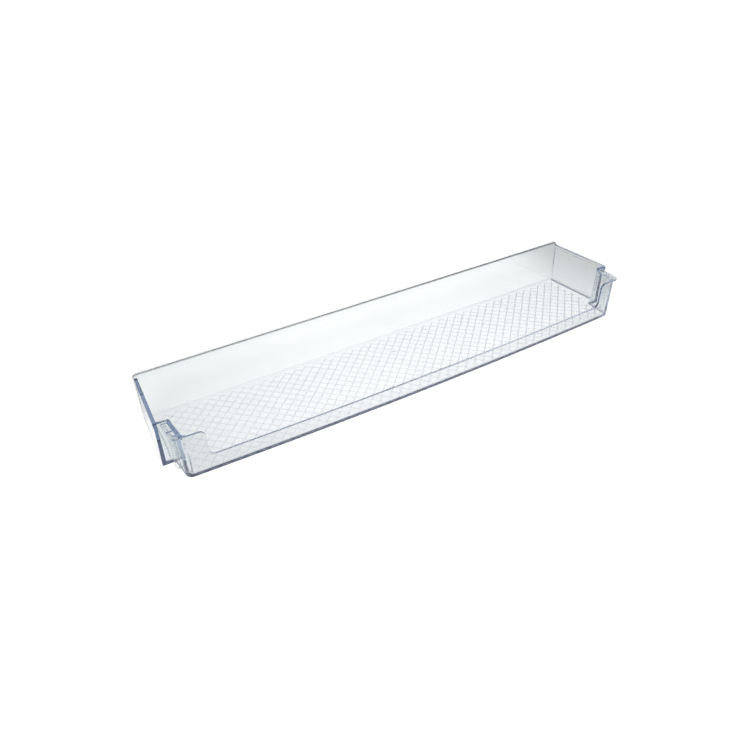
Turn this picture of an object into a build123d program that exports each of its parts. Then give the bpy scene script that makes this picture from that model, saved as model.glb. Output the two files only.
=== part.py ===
"""Clear door shelf for a refrigerator, moulded as one piece.

Frame: X runs along the shelf, +Y points from the door side to the tall front wall, +Z is up.
The origin is under the middle of the shelf, on the plane that the floor stands on. Units are mm.
"""

import os
from math import radians, sqrt, tan

from build123d import *

# Overall sizes
depth = 100.4  # over the front wall's rim and the bow of the rear wall
front_length = 472.0  # the front wall, end to end
end_length_front = 469.6  # over the tops of the end walls where they leave the front wall
end_length_rear = 476.0  # over the tops of the end walls at the step, where they have flared out
front_height = 46.5
end_height = 43.5
ear_height = 41.4
rear_height = 16.2
rear_bow = 4.7  # how far the rear wall bulges between its corners

# Wall section
wall = 2.0
end_wall = 2.4  # the end walls from the front wall to the step
neck_wall = 3.0  # the recessed end walls
floor_thickness = 2.2
draft = 2.3  # degrees, on the front wall, the rear wall and the step
end_draft = 1.4  # degrees, on the outer faces of the end walls, which lean in towards the top
neck_draft = 0.7  # degrees, on the outer faces of the recessed end walls, which lean in as well
rear_corner_radius = 6.5  # outer upright edges at the rear
foot_radius = 0.8  # outer edge between the floor and the other walls
front_foot_radius = 3.2  # outer edge between the floor and the front wall
floor_radius = 2.0  # inner edge between the floor and the walls
front_corner_radius = 3.0  # upper corners of the front wall
shoulder_radius = 2.2  # where the end walls rise to the front wall
shoulder_land = 0.6  # flat left between that rise and the front wall

# Recess at each rear corner, which clears a boss on the door
recess_run = 25.0  # along Y, from the rear wall's foot to the step's foot
step_width = 9.6  # in from the end wall's outer face to the recessed end wall's
neck_taper = 2.7  # how far each recessed end wall draws in from the step to the rear wall
neck_radius = 1.0  # outer upright edge between the step and the recessed end wall
ramp_run = 4.0  # length of the fall from the end wall's height to the ear's

# Opening in the rear wall, between the two ears
ear_length = 19.2  # along the rear wall, from the recessed end wall's outer face
notch_radius = 5.5  # at the foot of each ear
ear_radius = 5.0  # at the top of each ear

# Hanger at each end: a lip over the recess and two ribs below it
lip_width = 5.0  # out from the recessed end wall
lip_thickness = 2.0
lip_corner_radius = 5.0
lip_setback = 0.6  # in from the rear wall's outer face
rib_thickness = 1.8
slot_width = 10.4  # between the step and the guide rib, at the lip
guide_rib_width = 4.4  # out from the recessed end wall
guide_rib_foot = 3.5  # height of its lower end
guide_rib_radius = 4.0
stop_rib_gap = 5.0  # between the guide rib and the stop rib
stop_rib_width = 3.2  # out from the recessed end wall
stop_rib_foot = 20.0  # height of its lower end
stop_rib_radius = 1.5

# Rim band along the top of the front wall and the end walls
rim_proud = 0.5
front_rim_height = 5.0
end_rim_height = 3.6

# Diamond pattern of V grooves in the floor
diamond = 10.45  # from corner to corner of one diamond
groove_width = 1.5
groove_depth = 0.12
pattern_margin = 4.0  # plain floor left along the walls

# Mark of the moulding gate, under the floor
gate_to_front = 30.0  # from the front wall's inner foot
gate_diameter = 5.0
gate_depth = 0.5

# Positions that follow from the sizes
neck_length_step = end_length_rear - 2 * step_width  # at the step, at the end walls' height
neck_length_rear = neck_length_step - 2 * neck_taper  # at the rear wall, at the same height
notch_length = neck_length_rear - 2 * ear_length
lean = tan(radians(draft))
end_lean = tan(radians(end_draft))
neck_lean = tan(radians(neck_draft))
front_foot_y = depth / 2 - rim_proud - front_height * lean
rear_foot_y = rear_height * lean + rear_bow - depth / 2
step_foot_y = rear_foot_y + recess_run
lip_foot = ear_height - lip_thickness
root = wall / 2  # how far lips, ribs and rims reach into the walls that carry them
clear = 5.0  # how far cutting tools reach past the part


def front_y(height):
    """Y of the front wall's outer face at a height."""
    return front_foot_y + height * lean


def rear_y(height):
    """Y of the rear wall's outer face at its corners, at a height."""
    return rear_foot_y - height * lean


def step_y(height):
    """Y of the step's outer face at a height."""
    return step_foot_y - height * lean


def end_spread(height):
    """How far an end wall's outer face stands out at a height, past its place at its top."""
    return (end_height - height) * end_lean


def neck_spread(height):
    """How far a recessed end wall's outer face stands out at a height, past its place at the top."""
    return (end_height - height) * neck_lean


def neck_x(y):
    """X of the recessed end wall's outer face at a Y and the lip's height, on the +X side."""
    share = (y - rear_y(lip_foot)) / recess_run
    top_x = neck_length_rear / 2 + share * (neck_length_step - neck_length_rear) / 2
    return top_x + neck_spread(lip_foot)


def half_plan(height, end_out, neck_out):
    """Corners of the tray's plan at a height, on the +X side, from the front to the rear corner."""
    return (
        (0, front_y(height)),
        (end_length_front / 2 + end_out, front_y(height)),
        (end_length_rear / 2 + end_out, step_y(height)),
        (neck_length_step / 2 + neck_out, step_y(height)),
        (neck_length_rear / 2 + neck_out, rear_y(height)),
    )


def end_wall_plan(height):
    """Corners of a plan that the end walls' inner faces bound, on the +X side, from front to rear."""
    flare = (end_length_rear - end_length_front) / 2 / (front_y(height) - step_y(height))
    rear_x = end_length_rear / 2 - end_wall + flare * (recess_run + rear_bow)
    return (
        (0, front_y(height)),
        (end_length_front / 2 - end_wall, front_y(height)),
        (rear_x, rear_y(height) - rear_bow),
        (0, rear_y(height) - rear_bow),
    )


def rear_middle(height):
    """Middle of the bowed rear wall's outer face at a height."""
    return (0, rear_y(height) - rear_bow)


def across(point):
    """The point at the same place on the other half of the shelf."""
    return (-point.X, point.Y)


def at_rear_corner(edge):
    """Tell whether an edge climbs a corner of the rear wall."""
    box = edge.bounding_box()
    return box.size.Z > rear_height and box.max.Y < (rear_foot_y + step_foot_y) / 2


def at_neck(edge):
    """Tell whether an edge climbs the corner between the step and a recessed end wall."""
    box = edge.bounding_box()
    inboard = abs(box.center().X) < (neck_length_step + end_length_rear) / 4
    behind = box.max.Y < (step_foot_y + front_foot_y) / 2
    return box.size.Z > rear_height and inboard and behind and not at_rear_corner(edge)


# Hollow of the tray, up past the highest wall
with BuildPart() as cavity:
    for height in (floor_thickness, front_height + clear):
        with BuildSketch(Plane.XY.offset(height)):
            with BuildLine():
                half = Polyline(*half_plan(height, 0, wall - neck_wall))
                mirror(half, about=Plane.YZ)
                ThreePointArc(half @ 1, rear_middle(height), across(half @ 1))
            make_face()
            offset(amount=-wall, kind=Kind.INTERSECTION, mode=Mode.REPLACE)
            with BuildLine():
                half = Polyline(*end_wall_plan(height))
                mirror(half, about=Plane.YZ)
            make_face(mode=Mode.INTERSECT)
    loft(ruled=True)
    fillet(cavity.edges().filter_by(at_rear_corner), rear_corner_radius - wall)
    fillet(cavity.edges().filter_by(at_neck), neck_radius + wall)
    fillet(cavity.faces().sort_by(Axis.Z)[0].edges(), floor_radius)

# One family of the floor's grooves, along the diagonal between +X and +Y
groove_pitch = diamond / sqrt(2)
groove_count = 2 * int((end_length_rear + depth) / (2 * sqrt(2) * groove_pitch)) + 1
groove_flank = sqrt(groove_width**2 + (2 * groove_depth) ** 2)  # the cutters stand half above the floor
across_grooves = Plane(origin=(0, 0, floor_thickness), x_dir=(-1, 1, 0), z_dir=(1, 1, 0))
with BuildPart() as grooves:
    with BuildSketch(across_grooves):
        with GridLocations(groove_pitch, 0, groove_count, 1):
            Triangle(a=2 * groove_width, b=groove_flank, c=groove_flank, rotation=180)
    extrude(amount=end_length_rear, both=True)
    with BuildSketch(Plane.XY.offset(floor_thickness - 2 * groove_depth)):
        with BuildLine():
            half = Polyline(*half_plan(floor_thickness, 0, wall - neck_wall))
            mirror(half, about=Plane.YZ)
            ThreePointArc(half @ 1, rear_middle(floor_thickness), across(half @ 1))
        make_face()
        offset(amount=-wall - pattern_margin, kind=Kind.INTERSECTION, mode=Mode.REPLACE)
    extrude(amount=4 * groove_depth, mode=Mode.INTERSECT)

# Rim along the top of the end wall towards +X
with BuildPart() as end_rim:
    for height in (end_height - end_rim_height, end_height):
        with BuildSketch(Plane.XY.offset(height)):
            with BuildLine():
                Polyline(
                    (end_length_front / 2 + end_spread(height) + rim_proud, front_y(height) - root),
                    (end_length_rear / 2 + end_spread(height) + rim_proud, step_y(height)),
                    (end_length_rear / 2 - root, step_y(height)),
                    (end_length_front / 2 - root, front_y(height) - root),
                    close=True,
                )
            make_face()
    loft(ruled=True)

# Hanger on the end towards +X: a lip over the recess with a guide rib and a stop rib below it
guide_rib_y = step_y(lip_foot) - slot_width - rib_thickness / 2
stop_rib_y = guide_rib_y - rib_thickness - stop_rib_gap
lip_front_y = step_y(lip_foot) + root
lip_rear_y = rear_y(lip_foot) + lip_setback
rib_top = lip_foot + lip_thickness / 2
with BuildPart() as hanger:
    with BuildSketch(Plane.XY.offset(lip_foot)):
        with BuildLine():
            Polyline(
                (neck_x(lip_front_y) - rear_corner_radius, lip_front_y),
                (neck_x(lip_front_y) + lip_width, lip_front_y),
                (neck_x(lip_rear_y) + lip_width, lip_rear_y),
                (neck_x(lip_rear_y) - rear_corner_radius, lip_rear_y),
                close=True,
            )
        make_face()
        fillet(vertices().group_by(Axis.Y)[0].sort_by(Axis.X)[-1], lip_corner_radius)
    extrude(amount=lip_thickness)
    for y, rib_width, foot, radius in (
        (guide_rib_y, guide_rib_width, guide_rib_foot, guide_rib_radius),
        (stop_rib_y, stop_rib_width, stop_rib_foot, stop_rib_radius),
    ):
        with BuildSketch(Plane.XZ.offset(-y)):
            with BuildLine():
                Polyline(
                    (neck_x(y) - root, foot),
                    (neck_x(y) + rib_width, foot),
                    (neck_x(y) + rib_width, rib_top),
                    (neck_x(y) - root, rib_top),
                    close=True,
                )
            make_face()
            fillet(vertices().group_by(Axis.X)[-1].sort_by(Axis.Y)[0], radius)
        extrude(amount=rib_thickness / 2, both=True)

# The shelf
with BuildPart() as door_shelf:
    for height in (0, front_height):
        with BuildSketch(Plane.XY.offset(height)):
            with BuildLine():
                half = Polyline(*half_plan(height, end_spread(height), neck_spread(height)))
                mirror(half, about=Plane.YZ)
                ThreePointArc(half @ 1, rear_middle(height), across(half @ 1))
            make_face()
    loft(ruled=True)
    fillet(door_shelf.edges().filter_by(at_rear_corner), rear_corner_radius)
    fillet(door_shelf.edges().filter_by(at_neck), neck_radius)
    fillet(door_shelf.faces().sort_by(Axis.Z)[0].edges(), foot_radius)

    # Front wall, a plate that stands a little past the end walls, with a rim along its top
    front_face = Plane(origin=(0, front_foot_y, 0), x_dir=(-1, 0, 0), z_dir=(0, 1, -lean))
    slope_height = front_height * sqrt(1 + lean**2) + rim_proud * lean
    for band_height, start, end in ((slope_height, 0, -wall), (front_rim_height, -wall, rim_proud)):
        with BuildSketch(front_face.offset(start)):
            with Locations((0, slope_height)):
                Rectangle(front_length, band_height, align=(Align.CENTER, Align.MAX))
            fillet(vertices().group_by(Axis.Y)[-1], front_corner_radius)
        extrude(amount=end - start)

    # Foot of the front wall, rounded outside
    with BuildSketch(Plane.YZ):
        with BuildLine():
            Polyline(
                (front_foot_y, 0),
                (front_y(front_foot_radius + clear), front_foot_radius + clear),
                (front_y(front_foot_radius + clear) + clear, front_foot_radius + clear),
                (front_foot_y + clear, -clear),
                (front_foot_y - front_foot_radius - clear, -clear),
                (front_foot_y - front_foot_radius - clear, 0),
                close=True,
            )
        make_face()
        fillet(vertices().sort_by_distance((front_foot_y, 0))[0], front_foot_radius)
    extrude(amount=front_length / 2 + clear, both=True, mode=Mode.SUBTRACT)

    # Rims of the end walls
    add(end_rim.part)
    add(mirror(end_rim.part, about=Plane.YZ, mode=Mode.PRIVATE))

    # End walls and ears fall away from the height of the front wall
    shoulder_y = front_y(front_height) - wall - shoulder_land
    with BuildSketch(Plane.YZ):
        with BuildLine():
            Polyline(
                (front_y(front_height) + clear, front_height + clear),
                (front_y(front_height) + clear, front_height),
                (shoulder_y, front_height),
                (shoulder_y, end_height),
                (step_y(end_height) + wall, end_height),
                (step_y(end_height) + wall - ramp_run, ear_height),
                (rear_y(ear_height) - clear, ear_height),
                (rear_y(ear_height) - clear, front_height + clear),
                close=True,
            )
        make_face()
        fillet(vertices().sort_by_distance((shoulder_y, end_height))[0], shoulder_radius)
    extrude(amount=end_length_rear / 2 + clear, both=True, mode=Mode.SUBTRACT)

    # Upper corners of the front wall, rounded through to the shoulders
    with BuildSketch(front_face):
        with Locations((0, slope_height)):
            Rectangle(front_length + clear, front_corner_radius, align=(Align.CENTER, Align.MAX))
            RectangleRounded(
                front_length,
                slope_height,
                front_corner_radius,
                align=(Align.CENTER, Align.MAX),
                mode=Mode.SUBTRACT,
            )
    extrude(amount=wall + shoulder_land + shoulder_radius, both=True, mode=Mode.SUBTRACT)

    # Hangers, and then the hollow
    add(hanger.part)
    add(mirror(hanger.part, about=Plane.YZ, mode=Mode.PRIVATE))
    add(cavity.part, mode=Mode.SUBTRACT)

    # Opening between the ears
    with BuildSketch(Plane.XZ.offset(-rear_foot_y - rear_corner_radius)):
        with Locations((0, rear_height)):
            Rectangle(notch_length, front_height, align=(Align.CENTER, Align.MIN))
        fillet(vertices().group_by(Axis.Y)[0], notch_radius)
    extrude(amount=2 * rear_corner_radius + rear_bow + clear, mode=Mode.SUBTRACT)

    # Inner upper corner of each ear
    for side in (-1, 1):
        ear_corner = (side * notch_length / 2, rear_y(ear_height) + root, ear_height)
        fillet(door_shelf.edges().filter_by(Axis.Y).sort_by_distance(ear_corner)[0], ear_radius)

    # Grooves both ways across the floor
    add(grooves.part, mode=Mode.SUBTRACT)
    add(mirror(grooves.part, about=Plane.YZ, mode=Mode.PRIVATE), mode=Mode.SUBTRACT)

    # Gate mark
    with BuildSketch(Plane.XY):
        with Locations((0, front_y(floor_thickness) - wall - gate_to_front)):
            Circle(gate_diameter / 2)
    extrude(amount=gate_depth, mode=Mode.SUBTRACT)

door_shelf.part.label = "door_shelf"
os.makedirs("parts", exist_ok=True)
export_step(door_shelf.part, "parts/door_shelf.step")
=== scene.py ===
"""Looks of a clear moulded refrigerator door shelf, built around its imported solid.

The solid gives every form of the shelf. This script shows a copy of it with its small edges rounded, lays
the clear plastic on that copy, and adds the studio and a camera at the photograph's viewing angle.
Everything is in metres, in the solid's own frame: +X runs along the shelf, +Y points from the door side to
the tall front wall, and +Z is up.
"""

from __future__ import annotations

import logging
from dataclasses import dataclass
from enum import Enum

import bmesh
import bpy
from mathutils import Matrix, Vector

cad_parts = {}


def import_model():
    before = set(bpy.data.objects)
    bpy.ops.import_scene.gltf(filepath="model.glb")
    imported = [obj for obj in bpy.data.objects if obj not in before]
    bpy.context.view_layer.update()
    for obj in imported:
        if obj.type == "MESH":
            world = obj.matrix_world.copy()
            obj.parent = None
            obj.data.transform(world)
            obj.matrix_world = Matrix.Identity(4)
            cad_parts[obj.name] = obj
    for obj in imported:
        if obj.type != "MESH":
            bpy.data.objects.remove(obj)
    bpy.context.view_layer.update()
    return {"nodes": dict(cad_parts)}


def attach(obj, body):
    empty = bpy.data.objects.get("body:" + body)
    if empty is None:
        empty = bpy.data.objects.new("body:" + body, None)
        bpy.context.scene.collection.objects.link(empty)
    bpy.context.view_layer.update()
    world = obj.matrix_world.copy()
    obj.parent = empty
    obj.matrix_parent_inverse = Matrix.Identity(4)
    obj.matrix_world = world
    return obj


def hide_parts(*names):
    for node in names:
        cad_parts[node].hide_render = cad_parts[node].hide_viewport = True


LOG = logging.getLogger("door_shelf")

Colour = tuple[float, float, float, float]
Point = tuple[float, float, float]

WHITE: Colour = (1.0, 1.0, 1.0, 1.0)

# A Mix node's colour sockets share their names with its other sockets, so they go by number.
MIX_FIRST = 6
MIX_SECOND = 7
MIX_RESULT = 2


class Axis(Enum):
    """Directions of the shelf's frame, as the Separate XYZ node calls them."""

    ALONG = "X"
    FORWARD = "Y"
    UP = "Z"


class RayKind(Enum):
    """Kinds of ray that show the white studio, as the Light Path node calls them."""

    CAMERA = "Is Camera Ray"
    GLOSSY = "Is Glossy Ray"
    TRANSMISSION = "Is Transmission Ray"


class Signal:
    """A node's output socket, on which arithmetic adds Math nodes."""

    def __init__(self, graph: Graph, socket: bpy.types.NodeSocket) -> None:
        """Wrap an output socket of a graph's node."""
        self.graph = graph
        self.socket = socket

    def _math(self, operation: str, first: Signal | float, second: Signal | float) -> Signal:
        """Return the result of a Math node on two values or links."""
        return self.graph.add("ShaderNodeMath", {"operation": operation}, {0: first, 1: second})

    def __add__(self, other: Signal | float) -> Signal:
        """Return this value plus another."""
        return self._math("ADD", self, other)

    def __radd__(self, other: Signal | float) -> Signal:
        """Return another value plus this one."""
        return self._math("ADD", other, self)

    def __sub__(self, other: Signal | float) -> Signal:
        """Return this value less another."""
        return self._math("SUBTRACT", self, other)

    def __rsub__(self, other: Signal | float) -> Signal:
        """Return another value less this one."""
        return self._math("SUBTRACT", other, self)

    def __mul__(self, other: Signal | float) -> Signal:
        """Return this value times another."""
        return self._math("MULTIPLY", self, other)

    def __rmul__(self, other: Signal | float) -> Signal:
        """Return another value times this one."""
        return self._math("MULTIPLY", other, self)

    def magnitude(self) -> Signal:
        """Return this value without its sign."""
        return self._math("ABSOLUTE", self, 0.0)

    def maximum(self, other: Signal | float) -> Signal:
        """Return the larger of this value and another."""
        return self._math("MAXIMUM", self, other)

    def below(self, limit: Signal | float) -> Signal:
        """Return one where this value is under a limit, else zero."""
        return self._math("LESS_THAN", self, limit)

    def reaching(self, limit: Signal | float) -> Signal:
        """Return one where this value is at a limit or over it, else zero."""
        return 1.0 - self.below(limit)

    def ramp(self, start: float, end: float) -> Signal:
        """Return a smooth rise from zero, where this value is at the start, to one at the end."""
        inputs = {"Value": self, "From Min": start, "From Max": end}
        return self.graph.add("ShaderNodeMapRange", {"interpolation_type": "SMOOTHSTEP"}, inputs)


class Graph:
    """The node tree of a material or of the world."""

    def __init__(self, owner: bpy.types.Material | bpy.types.World) -> None:
        """Start an empty tree.

        Args:
            owner: The material or world that the tree belongs to.
        """
        owner.use_nodes = True
        self.tree = owner.node_tree
        self.tree.nodes.clear()

    def add(
        self,
        kind: str,
        settings: dict[str, object] | None = None,
        inputs: dict[str | int, object] | None = None,
        output: str | int = 0,
    ) -> Signal | None:
        """Add a node.

        Args:
            kind: The node's type.
            settings: Properties of the node, set first. A ramp's stops go under "stops".
            inputs: Values or links of its input sockets, by name or number.
            output: The output socket to return.

        Returns:
            The chosen output, or None where the node has no outputs.
        """
        node = self.tree.nodes.new(kind)
        for name, value in (settings or {}).items():
            if name == "stops":
                self._set_stops(node.color_ramp, value)
            else:
                setattr(node, name, value)
        for name, value in (inputs or {}).items():
            if isinstance(value, Signal):
                self.tree.links.new(value.socket, node.inputs[name])
            else:
                node.inputs[name].default_value = value
        return Signal(self, node.outputs[output]) if len(node.outputs) else None

    @staticmethod
    def _set_stops(ramp: bpy.types.ColorRamp, stops: list[tuple[float, float]]) -> None:
        """Give a ramp grey stops.

        Args:
            ramp: The ramp, which has two stops to begin with.
            stops: Position and grey level of each stop.
        """
        while len(ramp.elements) < len(stops):
            ramp.elements.new(1.0)
        for element, (position, level) in zip(ramp.elements, stops):
            element.position = position
            element.color = (level, level, level, 1.0)

    def mix(self, share: Signal, first: Signal | Colour, second: Signal | Colour) -> Signal:
        """Return two colours mixed by the second one's share."""
        inputs = {"Factor": share, MIX_FIRST: first, MIX_SECOND: second}
        return self.add("ShaderNodeMix", {"data_type": "RGBA"}, inputs, MIX_RESULT)

    def noise(self, place: Signal, scale: float, detail: float, fineness: float) -> Signal:
        """Return a cloudy pattern, with fineness as the weight of its smaller clouds."""
        inputs = {"Vector": place, "Scale": scale, "Detail": detail, "Roughness": fineness}
        return self.add("ShaderNodeTexNoise", {}, inputs)

    def part(self, place: Signal, axis: Axis) -> Signal:
        """Return how far a place lies along an axis."""
        return self.add("ShaderNodeSeparateXYZ", {}, {"Vector": place}, axis.value)

    def ray(self, kind: RayKind) -> Signal:
        """Return one for a ray of this kind, else zero."""
        return self.add("ShaderNodeLightPath", output=kind.value)


@dataclass(frozen=True)
class ClearPlastic:
    """Glossy clear styrene plastic, faintly blue where light runs a long way through it."""

    name: str = "clear_plastic"
    ior: float = 1.57

    # Tints: painted light in the middle of the shelf turning to painted shade at its ends, a darker tint
    # where it is worn, and painted shade in the grooves
    # Painted light and shade: the plastic is lighter in the middle of the shelf and darker towards its ends.
    middle_painted_light_tint: Colour = (0.99, 0.995, 0.985, 1.0)
    painted_shade_from_x: float = 0.06
    end_painted_shade_tint: Colour = (0.92, 0.936, 0.923, 1.0)
    painted_shade_full_x: float = 0.235
    worn_tint: Colour = (0.9, 0.917, 0.907, 1.0)
    worn_tint_share: float = 0.5
    # Painted shade in the floor's grooves.
    groove_painted_shade: Colour = (0.82, 0.82, 0.835, 1.0)

    # Colour that light takes on inside the plastic
    depth_colour: Colour = (0.10, 0.27, 0.53, 1.0)
    depth_density: float = 30.0

    # Roughness of each area
    clean_roughness: float = 0.015
    worn_roughness: float = 0.07
    groove_roughness: float = 0.45
    inner_foot_roughness: float = 0.4
    front_foot_roughness: float = 0.35
    rim_roughness: float = 1.0
    under_roughness: float = 0.085

    # Patterned part of the floor
    floor_top: float = 0.0022
    groove_depth: float = 0.00012
    floor_x: float = 0.2275
    floor_front: float = 0.043
    floor_rear: float = -0.0439

    # Hollow of the tray, whose rear side follows the bow of the rear wall
    hollow_x: float = 0.2365
    hollow_front: float = 0.0468
    hollow_rear: float = -0.0442
    rear_bow: float = 0.0047
    rear_x: float = 0.2257

    # Rounded foot inside the walls, and outside the front wall
    inner_foot_top: float = 0.0042
    inner_foot_lift: float = 0.00001
    front_foot_y: float = 0.0445
    front_foot_top: float = 0.0034

    # Rim of the front wall, band that hands hold, and underside
    rim_y: float = 0.0465
    rim_z: float = 0.0455
    handled_low: float = 0.0412
    handled_high: float = 0.0418
    handled_wear: float = 0.5
    under_z: float = 0.0001

    # Flow marks, scuffs and the ripple of the surface
    flow_scale: float = 22.0
    flow_detail: float = 2.0
    flow_fineness: float = 0.4
    flow_share: float = 0.5
    scuff_scale: float = 240.0
    scuff_detail: float = 4.0
    scuff_fineness: float = 0.6
    worn_from: float = 0.52
    worn_to: float = 0.75
    ripple_height: float = 0.00004
    ripple_strength: float = 0.05

    def _wear(self, graph: Graph, place: Signal, flow: Signal, z: Signal) -> Signal:
        """Find how worn the surface is: in patches, and along the band that hands hold.

        Args:
            graph: The material's graph.
            place: The place on the surface.
            flow: The flow marks.
            z: The height of the place.

        Returns:
            The wear, from zero to one.
        """
        scuffs = graph.noise(place, self.scuff_scale, self.scuff_detail, self.scuff_fineness)
        marks = flow * self.flow_share + scuffs * (1.0 - self.flow_share)
        stops = [(self.worn_from, 0.0), (self.worn_to, 1.0)]
        patches = graph.add("ShaderNodeValToRGB", {"stops": stops}, {"Fac": marks})
        return patches.maximum(z.ramp(self.handled_low, self.handled_high) * self.handled_wear)

    def _groove(self, x: Signal, y: Signal, z: Signal) -> Signal:
        """Find the grooves of the floor.

        Args:
            x: The place along the shelf.
            y: The place from the door side to the front wall.
            z: The height of the place.

        Returns:
            A mask that rises to one at the bottom of a groove.
        """
        groove_bottom = self.floor_top - self.groove_depth
        on_floor = x.magnitude().below(self.floor_x) * y.below(self.floor_front) * y.reaching(self.floor_rear)
        under_grooves = z.below(groove_bottom - self.groove_depth)
        return z.ramp(self.floor_top, groove_bottom) * on_floor * (1.0 - under_grooves)

    def _roughness(self, x: Signal, y: Signal, z: Signal, worn: Signal, groove: Signal) -> Signal:
        """Find the surface's roughness, which is that of the roughest area at each place.

        Args:
            x: The place along the shelf.
            y: The place from the door side to the front wall.
            z: The height of the place.
            worn: How worn the surface is.
            groove: The mask of the floor's grooves.

        Returns:
            The roughness.
        """
        bow = (1.0 - x * x * self.rear_x**-2) * self.rear_bow
        behind_front = x.magnitude().below(self.hollow_x) * y.below(self.hollow_front)
        in_hollow = behind_front * (y + bow).reaching(self.hollow_rear)
        over_floor = z.reaching(self.floor_top + self.inner_foot_lift)
        inner_foot = in_hollow * z.below(self.inner_foot_top) * over_floor
        front_foot = (1.0 - in_hollow) * z.below(self.front_foot_top) * y.reaching(self.front_foot_y)
        rough = worn * (self.worn_roughness - self.clean_roughness) + self.clean_roughness
        for area, roughness in (
            (groove, self.groove_roughness),
            (inner_foot, self.inner_foot_roughness),
            (z.reaching(self.rim_z) * y.reaching(self.rim_y), self.rim_roughness),
            (z.below(self.under_z), self.under_roughness),
            (front_foot, self.front_foot_roughness),
        ):
            rough = rough.maximum(area * roughness)
        return rough

    def _tint(self, graph: Graph, x: Signal, worn: Signal, groove: Signal) -> Signal:
        """Find the surface's tint, with painted shade towards the ends of the shelf and in the floor's
        grooves.

        Args:
            graph: The material's graph.
            x: The place along the shelf.
            worn: How worn the surface is.
            groove: The mask of the floor's grooves.

        Returns:
            The tint.
        """
        # Painted shade: the plastic darkens from the middle of the shelf to its ends.
        unworn_tint_with_painted_shade = graph.mix(x.magnitude().ramp(self.painted_shade_from_x, self.painted_shade_full_x), self.middle_painted_light_tint, self.end_painted_shade_tint)
        used = graph.mix(worn * self.worn_tint_share, unworn_tint_with_painted_shade, self.worn_tint)
        # Painted shade darkens the floor's grooves.
        return graph.mix(groove, used, self.groove_painted_shade)

    def material(self) -> bpy.types.Material:
        """Make the material.

        Returns:
            The material, with its patterns on Object coordinates.
        """
        made = bpy.data.materials.new(self.name)
        graph = Graph(made)
        place = graph.add("ShaderNodeTexCoord", output="Object")
        x, y, z = (graph.part(place, axis) for axis in Axis)
        flow = graph.noise(place, self.flow_scale, self.flow_detail, self.flow_fineness)
        worn = self._wear(graph, place, flow, z)
        groove = self._groove(x, y, z)
        ripple = graph.add(
            "ShaderNodeBump",
            {},
            {"Strength": self.ripple_strength, "Distance": self.ripple_height, "Height": flow},
        )
        surface = graph.add(
            "ShaderNodeBsdfPrincipled",
            {},
            {
                "Base Color": self._tint(graph, x, worn, groove),
                "Roughness": self._roughness(x, y, z, worn, groove),
                "IOR": self.ior,
                "Transmission Weight": 1.0,
                "Normal": ripple,
            },
        )
        inside = graph.add(
            "ShaderNodeVolumeAbsorption",
            {},
            {"Color": self.depth_colour, "Density": self.depth_density},
        )
        graph.add("ShaderNodeOutputMaterial", {}, {"Surface": surface, "Volume": inside})
        return made


@dataclass
class ShelfMoulding:
    """The shelf: one clear moulding, with the small edge radii that the solid leaves out."""

    node: str = "door_shelf"
    body: str = "root"
    name: str = "shelf_moulding"
    finish: ClearPlastic = ClearPlastic()
    merge_distance: float = 0.000001
    flat_angle: float = 0.004
    sharp_angle: float = 0.9
    shading_angle: float = 0.7
    face_weight: int = 100
    lowest_edge: float = 0.0008
    front_rim_y: float = 0.0462
    front_rim_z: float = 0.0425
    front_rim_radius: float = 0.0009
    edge_radius: float = 0.00035
    edge_segments: int = 3

    def _is_sharp(self, edge: bmesh.types.BMEdge) -> bool:
        """Tell whether an edge is a sharp outward one."""
        outward = edge.is_manifold and edge.is_convex
        return outward and edge.calc_face_angle() > self.sharp_angle

    def _sharp_edges(self, shape: bmesh.types.BMesh, on_front_rim: bool) -> list[bmesh.types.BMEdge]:
        """Find the outward edges that a mould leaves rounded, above the foot of the walls.

        Args:
            shape: The shelf's faces.
            on_front_rim: Whether to find those along the top of the front wall, or all the others.

        Returns:
            The edges.
        """
        found = []
        for edge in shape.edges:
            lowest = min(corner.co.z for corner in edge.verts)
            rearmost = min(corner.co.y for corner in edge.verts)
            front_rim = rearmost > self.front_rim_y and lowest > self.front_rim_z
            if front_rim == on_front_rim and lowest > self.lowest_edge and self._is_sharp(edge):
                found.append(edge)
        return found

    def _rounded_mesh(self, solid: bpy.types.Object) -> bpy.types.Mesh:
        """Copy the solid's faces, join its flat ones and round its sharp edges.

        Args:
            solid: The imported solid, which stays as it is.

        Returns:
            The rounded copy.
        """
        shape = bmesh.new()
        shape.from_mesh(solid.data)
        bmesh.ops.remove_doubles(shape, verts=shape.verts, dist=self.merge_distance)
        bmesh.ops.dissolve_limit(shape, angle_limit=self.flat_angle, verts=shape.verts, edges=shape.edges)
        for on_front_rim, radius in ((True, self.front_rim_radius), (False, self.edge_radius)):
            bmesh.ops.bevel(
                shape,
                geom=self._sharp_edges(shape, on_front_rim),
                offset=radius,
                offset_type="OFFSET",
                affect="EDGES",
                segments=self.edge_segments,
                profile=0.5,
                material=-1,
                clamp_overlap=False,
            )
        bmesh.ops.dissolve_degenerate(shape, dist=self.merge_distance, edges=shape.edges)
        for face in shape.faces:
            face.smooth = True
        mesh = bpy.data.meshes.new(self.name)
        shape.to_mesh(mesh)
        shape.free()
        mesh.set_sharp_from_angle(angle=self.shading_angle)
        return mesh

    def dress(self, nodes: dict[str, bpy.types.Object]) -> bpy.types.Object:
        """Put the rounded copy in the solid's place and lay the clear plastic on it.

        Args:
            nodes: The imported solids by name.

        Returns:
            The shelf's object.
        """
        mesh = self._rounded_mesh(nodes[self.node])
        mesh.materials.append(self.finish.material())
        shelf = bpy.data.objects.new(self.name, mesh)
        shading = shelf.modifiers.new("even_shading", "WEIGHTED_NORMAL")
        shading.keep_sharp = True
        shading.weight = self.face_weight
        bpy.context.scene.collection.objects.link(shelf)
        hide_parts(self.node)
        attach(shelf, self.body)
        return shelf


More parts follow.
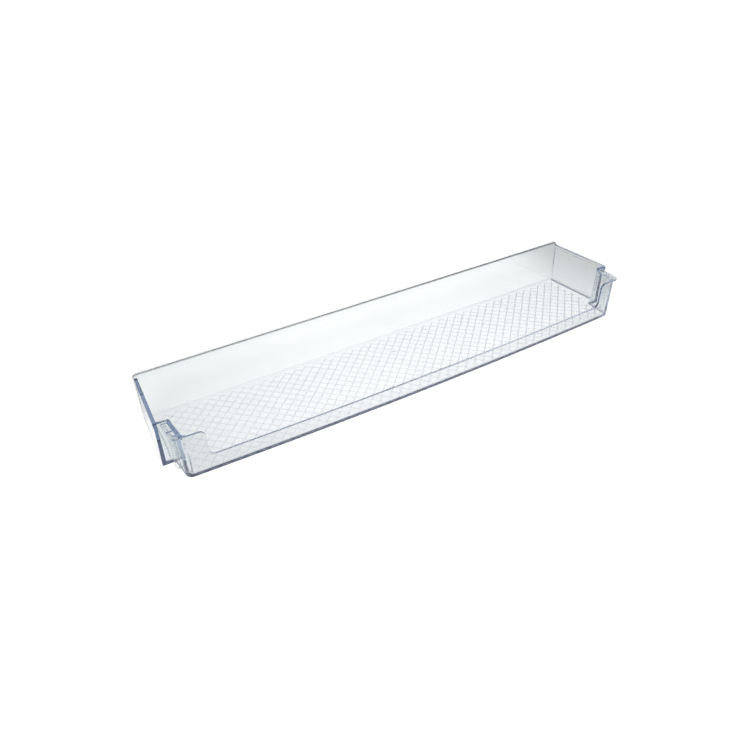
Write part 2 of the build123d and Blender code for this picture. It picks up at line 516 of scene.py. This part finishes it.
@dataclass
class Studio:
    """A plain pale floor under plain soft light, with a white backdrop."""

    light_bounces: int = 32

    # Floor, with painted shade that makes it look dimmer through the ends of the shelf
    floor_name: str = "studio_floor"
    floor_size: float = 24.0
    floor_colour: Colour = (0.8, 0.8, 0.8, 1.0)
    floor_glow: float = 0.85
    air_gap: float = 0.0003
    left_painted_shade: float = 0.075
    left_painted_shade_from: float = -0.02
    left_painted_shade_to: float = -0.22
    right_painted_shade: float = 0.5
    right_painted_shade_from: float = 0.215
    right_painted_shade_to: float = 0.305

    # Sky, whose ceiling shows dimmer in the plastic
    sky_light: float = 0.12
    ceiling_light: float = 0.5
    ceiling_from: float = 0.25
    ceiling_to: float = 0.75

    # Lamp
    lamp_strength: float = 0.75
    lamp_spread: float = 0.45
    lamp_from: Point = (-0.54, -0.84, 0.80)

    @staticmethod
    def _seen(graph: Graph) -> Signal:
        """Return one for a ray that shows the studio as white, else zero."""
        camera, glossy, transmission = (graph.ray(kind) for kind in RayKind)
        return camera.maximum(glossy).maximum(transmission)

    def world(self) -> None:
        """Make a world that looks white and lights the shelf softly from all sides."""
        world = bpy.data.worlds.new("studio_white")
        graph = Graph(world)
        direction = graph.add("ShaderNodeTexCoord", output="Generated")
        overhead = graph.part(direction, Axis.UP).ramp(self.ceiling_from, self.ceiling_to)
        shown = (1.0 - overhead * (1.0 - self.ceiling_light)).maximum(graph.ray(RayKind.CAMERA))
        strength = self._seen(graph) * (shown - self.sky_light) + self.sky_light
        sky = graph.add("ShaderNodeBackground", {}, {"Color": WHITE, "Strength": strength})
        graph.add("ShaderNodeOutputWorld", {}, {"Surface": sky})
        bpy.context.scene.world = world

    def _floor_material(self) -> bpy.types.Material:
        """Make the floor's material, which glows towards white where it is looked at, with painted shade
        where it is seen through the ends of the shelf.

        Returns:
            The material.
        """
        material = bpy.data.materials.new(self.floor_name)
        graph = Graph(material)
        place = graph.add("ShaderNodeTexCoord", output="Object")
        x = graph.part(place, Axis.ALONG)
        # Painted shade on the floor where it is seen through the ends of the shelf.
        right = x.ramp(self.right_painted_shade_from, self.right_painted_shade_to) * self.right_painted_shade
        left = x.ramp(self.left_painted_shade_from, self.left_painted_shade_to) * self.left_painted_shade
        lit = (1.0 - (right + left)).maximum(graph.ray(RayKind.CAMERA))
        strength = self._seen(graph) * lit * self.floor_glow
        glow = graph.add("ShaderNodeEmission", {}, {"Color": WHITE, "Strength": strength})
        card = graph.add("ShaderNodeBsdfDiffuse", {}, {"Color": self.floor_colour})
        both = graph.add("ShaderNodeAddShader", {}, {0: glow, 1: card})
        graph.add("ShaderNodeOutputMaterial", {}, {"Surface": both})
        return material

    def floor(self) -> bpy.types.Object:
        """Lay the floor, which keeps the shelf's shadow, a hair's breadth under the shelf.

        Returns:
            The floor's object.
        """
        shape = bmesh.new()
        bmesh.ops.create_grid(shape, x_segments=1, y_segments=1, size=self.floor_size / 2)
        bmesh.ops.translate(shape, verts=shape.verts, vec=(0.0, 0.0, -self.air_gap))
        mesh = bpy.data.meshes.new(self.floor_name)
        shape.to_mesh(mesh)
        shape.free()
        mesh.materials.append(self._floor_material())
        floor = bpy.data.objects.new(self.floor_name, mesh)
        bpy.context.scene.collection.objects.link(floor)
        return floor

    def lamp(self) -> bpy.types.Object:
        """Hang a large soft lamp over the shelf.

        Returns:
            The lamp's object.
        """
        light = bpy.data.lights.new("softbox", "SUN")
        light.energy = self.lamp_strength
        light.angle = self.lamp_spread
        lamp = bpy.data.objects.new("softbox", light)
        lamp.rotation_euler = (-Vector(self.lamp_from)).to_track_quat("-Z", "Y").to_euler()
        bpy.context.scene.collection.objects.link(lamp)
        return lamp

    def let_light_through(self) -> None:
        """Show colours as they are written, and follow light through all the walls of the shelf."""
        scene = bpy.context.scene
        scene.view_settings.view_transform = "Standard"
        scene.cycles.max_bounces = self.light_bounces
        scene.cycles.transmission_bounces = self.light_bounces
        scene.cycles.glossy_bounces = self.light_bounces


@dataclass
class PhotoCamera:
    """The camera at the photograph's viewing angle."""

    place: Point = (-0.28449, -0.43769, 0.35120)
    heading: float = -0.507
    tilt: float = 0.974
    roll: float = -0.044
    focal_length: float = 32.295
    sensor_width: float = 36.0
    clip_start: float = 0.01

    def make(self) -> bpy.types.Object:
        """Make the camera and look through it.

        Returns:
            The camera's object.
        """
        lens = bpy.data.cameras.new("photo_camera")
        lens.lens = self.focal_length
        lens.sensor_fit = "HORIZONTAL"
        lens.sensor_width = self.sensor_width
        lens.clip_start = self.clip_start
        camera = bpy.data.objects.new("photo_camera", lens)
        turn = (
            Matrix.Rotation(self.heading, 4, "Z")
            @ Matrix.Rotation(self.tilt, 4, "X")
            @ Matrix.Rotation(self.roll, 4, "Z")
        )
        camera.matrix_world = Matrix.Translation(self.place) @ turn
        bpy.context.scene.collection.objects.link(camera)
        bpy.context.scene.camera = camera
        return camera


def main() -> None:
    """Build the shelf's looks, the studio and the camera, in that order."""
    logging.basicConfig(level=logging.INFO, format="%(name)s: %(message)s")
    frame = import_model()

    shelf = ShelfMoulding().dress(frame["nodes"])
    LOG.info("%s has its clear plastic", shelf.name)

    studio = Studio()
    studio.world()
    floor = studio.floor()
    LOG.info("%s is laid", floor.name)
    lamp = studio.lamp()
    LOG.info("%s is hung", lamp.name)
    studio.let_light_through()

    camera = PhotoCamera().make()
    LOG.info("%s is set", camera.name)


if __name__ == "__main__":
    main()
